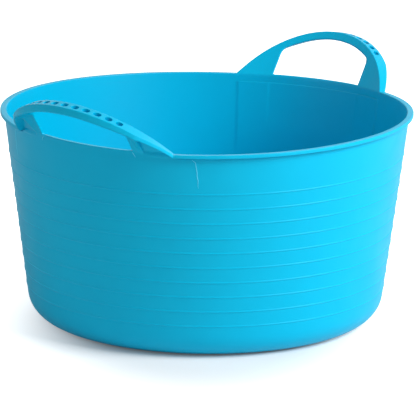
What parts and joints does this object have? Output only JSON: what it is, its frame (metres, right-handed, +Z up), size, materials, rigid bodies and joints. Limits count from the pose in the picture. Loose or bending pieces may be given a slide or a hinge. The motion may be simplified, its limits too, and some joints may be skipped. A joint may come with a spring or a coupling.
{
  "type": "flexible tub",
  "caption": "Flexible round tub with tapering ringed wall, rounded heel, rolled rim bead and pocketed grip handles that flex about their feet.",
  "frame": {"origin": "centre of the underside, on the plane the tub stands on", "axes": "+Z up; the two handles stand over -Y (front) and +Y (rear); +X to the right seen from the front"},
  "size_m": [0.38, 0.4506, 0.237],
  "materials": {
    "ldpe_shell": "satin moulded polyethylene",
    "ldpe_handles": "satin moulded polyethylene"
  },
  "bodies": {
    "tub": {"base_dish": "ldpe_shell", "heel_ring": "ldpe_shell", "side_wall": "ldpe_shell", "rim_bead_left": "ldpe_shell", "rim_bead_right": "ldpe_shell"},
    "front_handle": {"front_grip": "ldpe_handles", "front_gusset_left": "ldpe_handles", "front_gusset_right": "ldpe_handles"},
    "rear_handle": {"rear_grip": "ldpe_handles", "rear_gusset_left": "ldpe_handles", "rear_gusset_right": "ldpe_handles"}
  },
  "joints": [
    {"name": "front_handle_flex", "type": "hinge", "parent": "tub", "child": "front_handle", "pos_m": [0, -0.17438, 0.2075], "axis": [-1, 0, 0], "range_deg": [-10, 45], "stiffness_Nm_per_rad": 1.2},
    {"name": "rear_handle_flex", "type": "hinge", "parent": "tub", "child": "rear_handle", "pos_m": [0, 0.17438, 0.2075], "axis": [1, 0, 0], "range_deg": [-10, 45], "stiffness_Nm_per_rad": 1.2}
  ]
}
